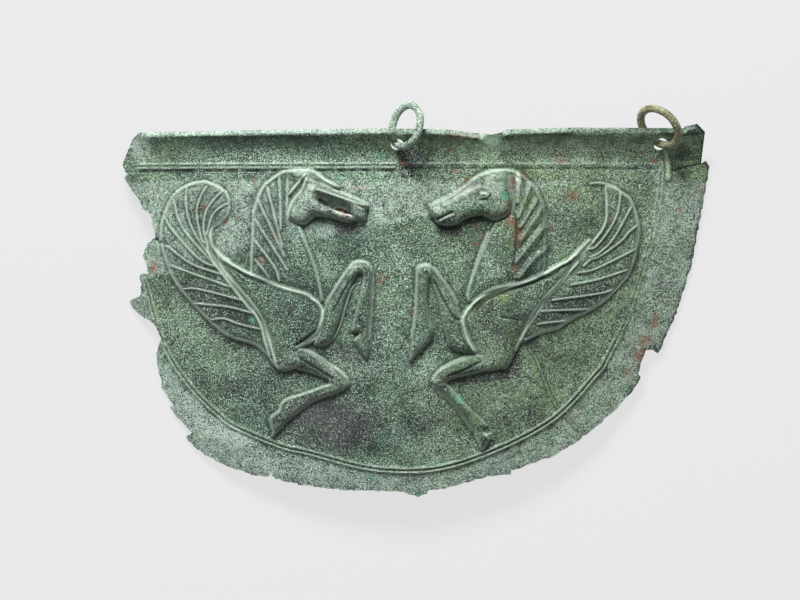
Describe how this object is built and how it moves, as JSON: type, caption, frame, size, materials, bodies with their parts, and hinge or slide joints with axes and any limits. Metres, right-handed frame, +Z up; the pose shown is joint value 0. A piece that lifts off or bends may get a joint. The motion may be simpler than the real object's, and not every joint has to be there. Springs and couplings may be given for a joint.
{
  "type": "bronze belly guard with suspension rings",
  "caption": "Hammered bronze belly guard: D-shaped curved sheet with flared rim, ridged border, confronted winged horses in relief and loose suspension rings.",
  "frame": {"origin": "on the floor under the middle of the part's bounding box", "axes": "+Z up from the floor, out of the relief face; +Y towards the flared rim; +X towards the corner that keeps its ring"},
  "size_m": [0.2468, 0.166, 0.0525],
  "materials": {
    "plate_bronze": "dull grey-green corroded bronze with dark speckle",
    "centre_ring_bronze": "pale crusted green",
    "right_ring_bronze": "olive green with brown"
  },
  "bodies": {
    "root": {"plate": "plate_bronze", "centre_ring": "centre_ring_bronze", "right_ring": "right_ring_bronze"}
  },
  "joints": []
}
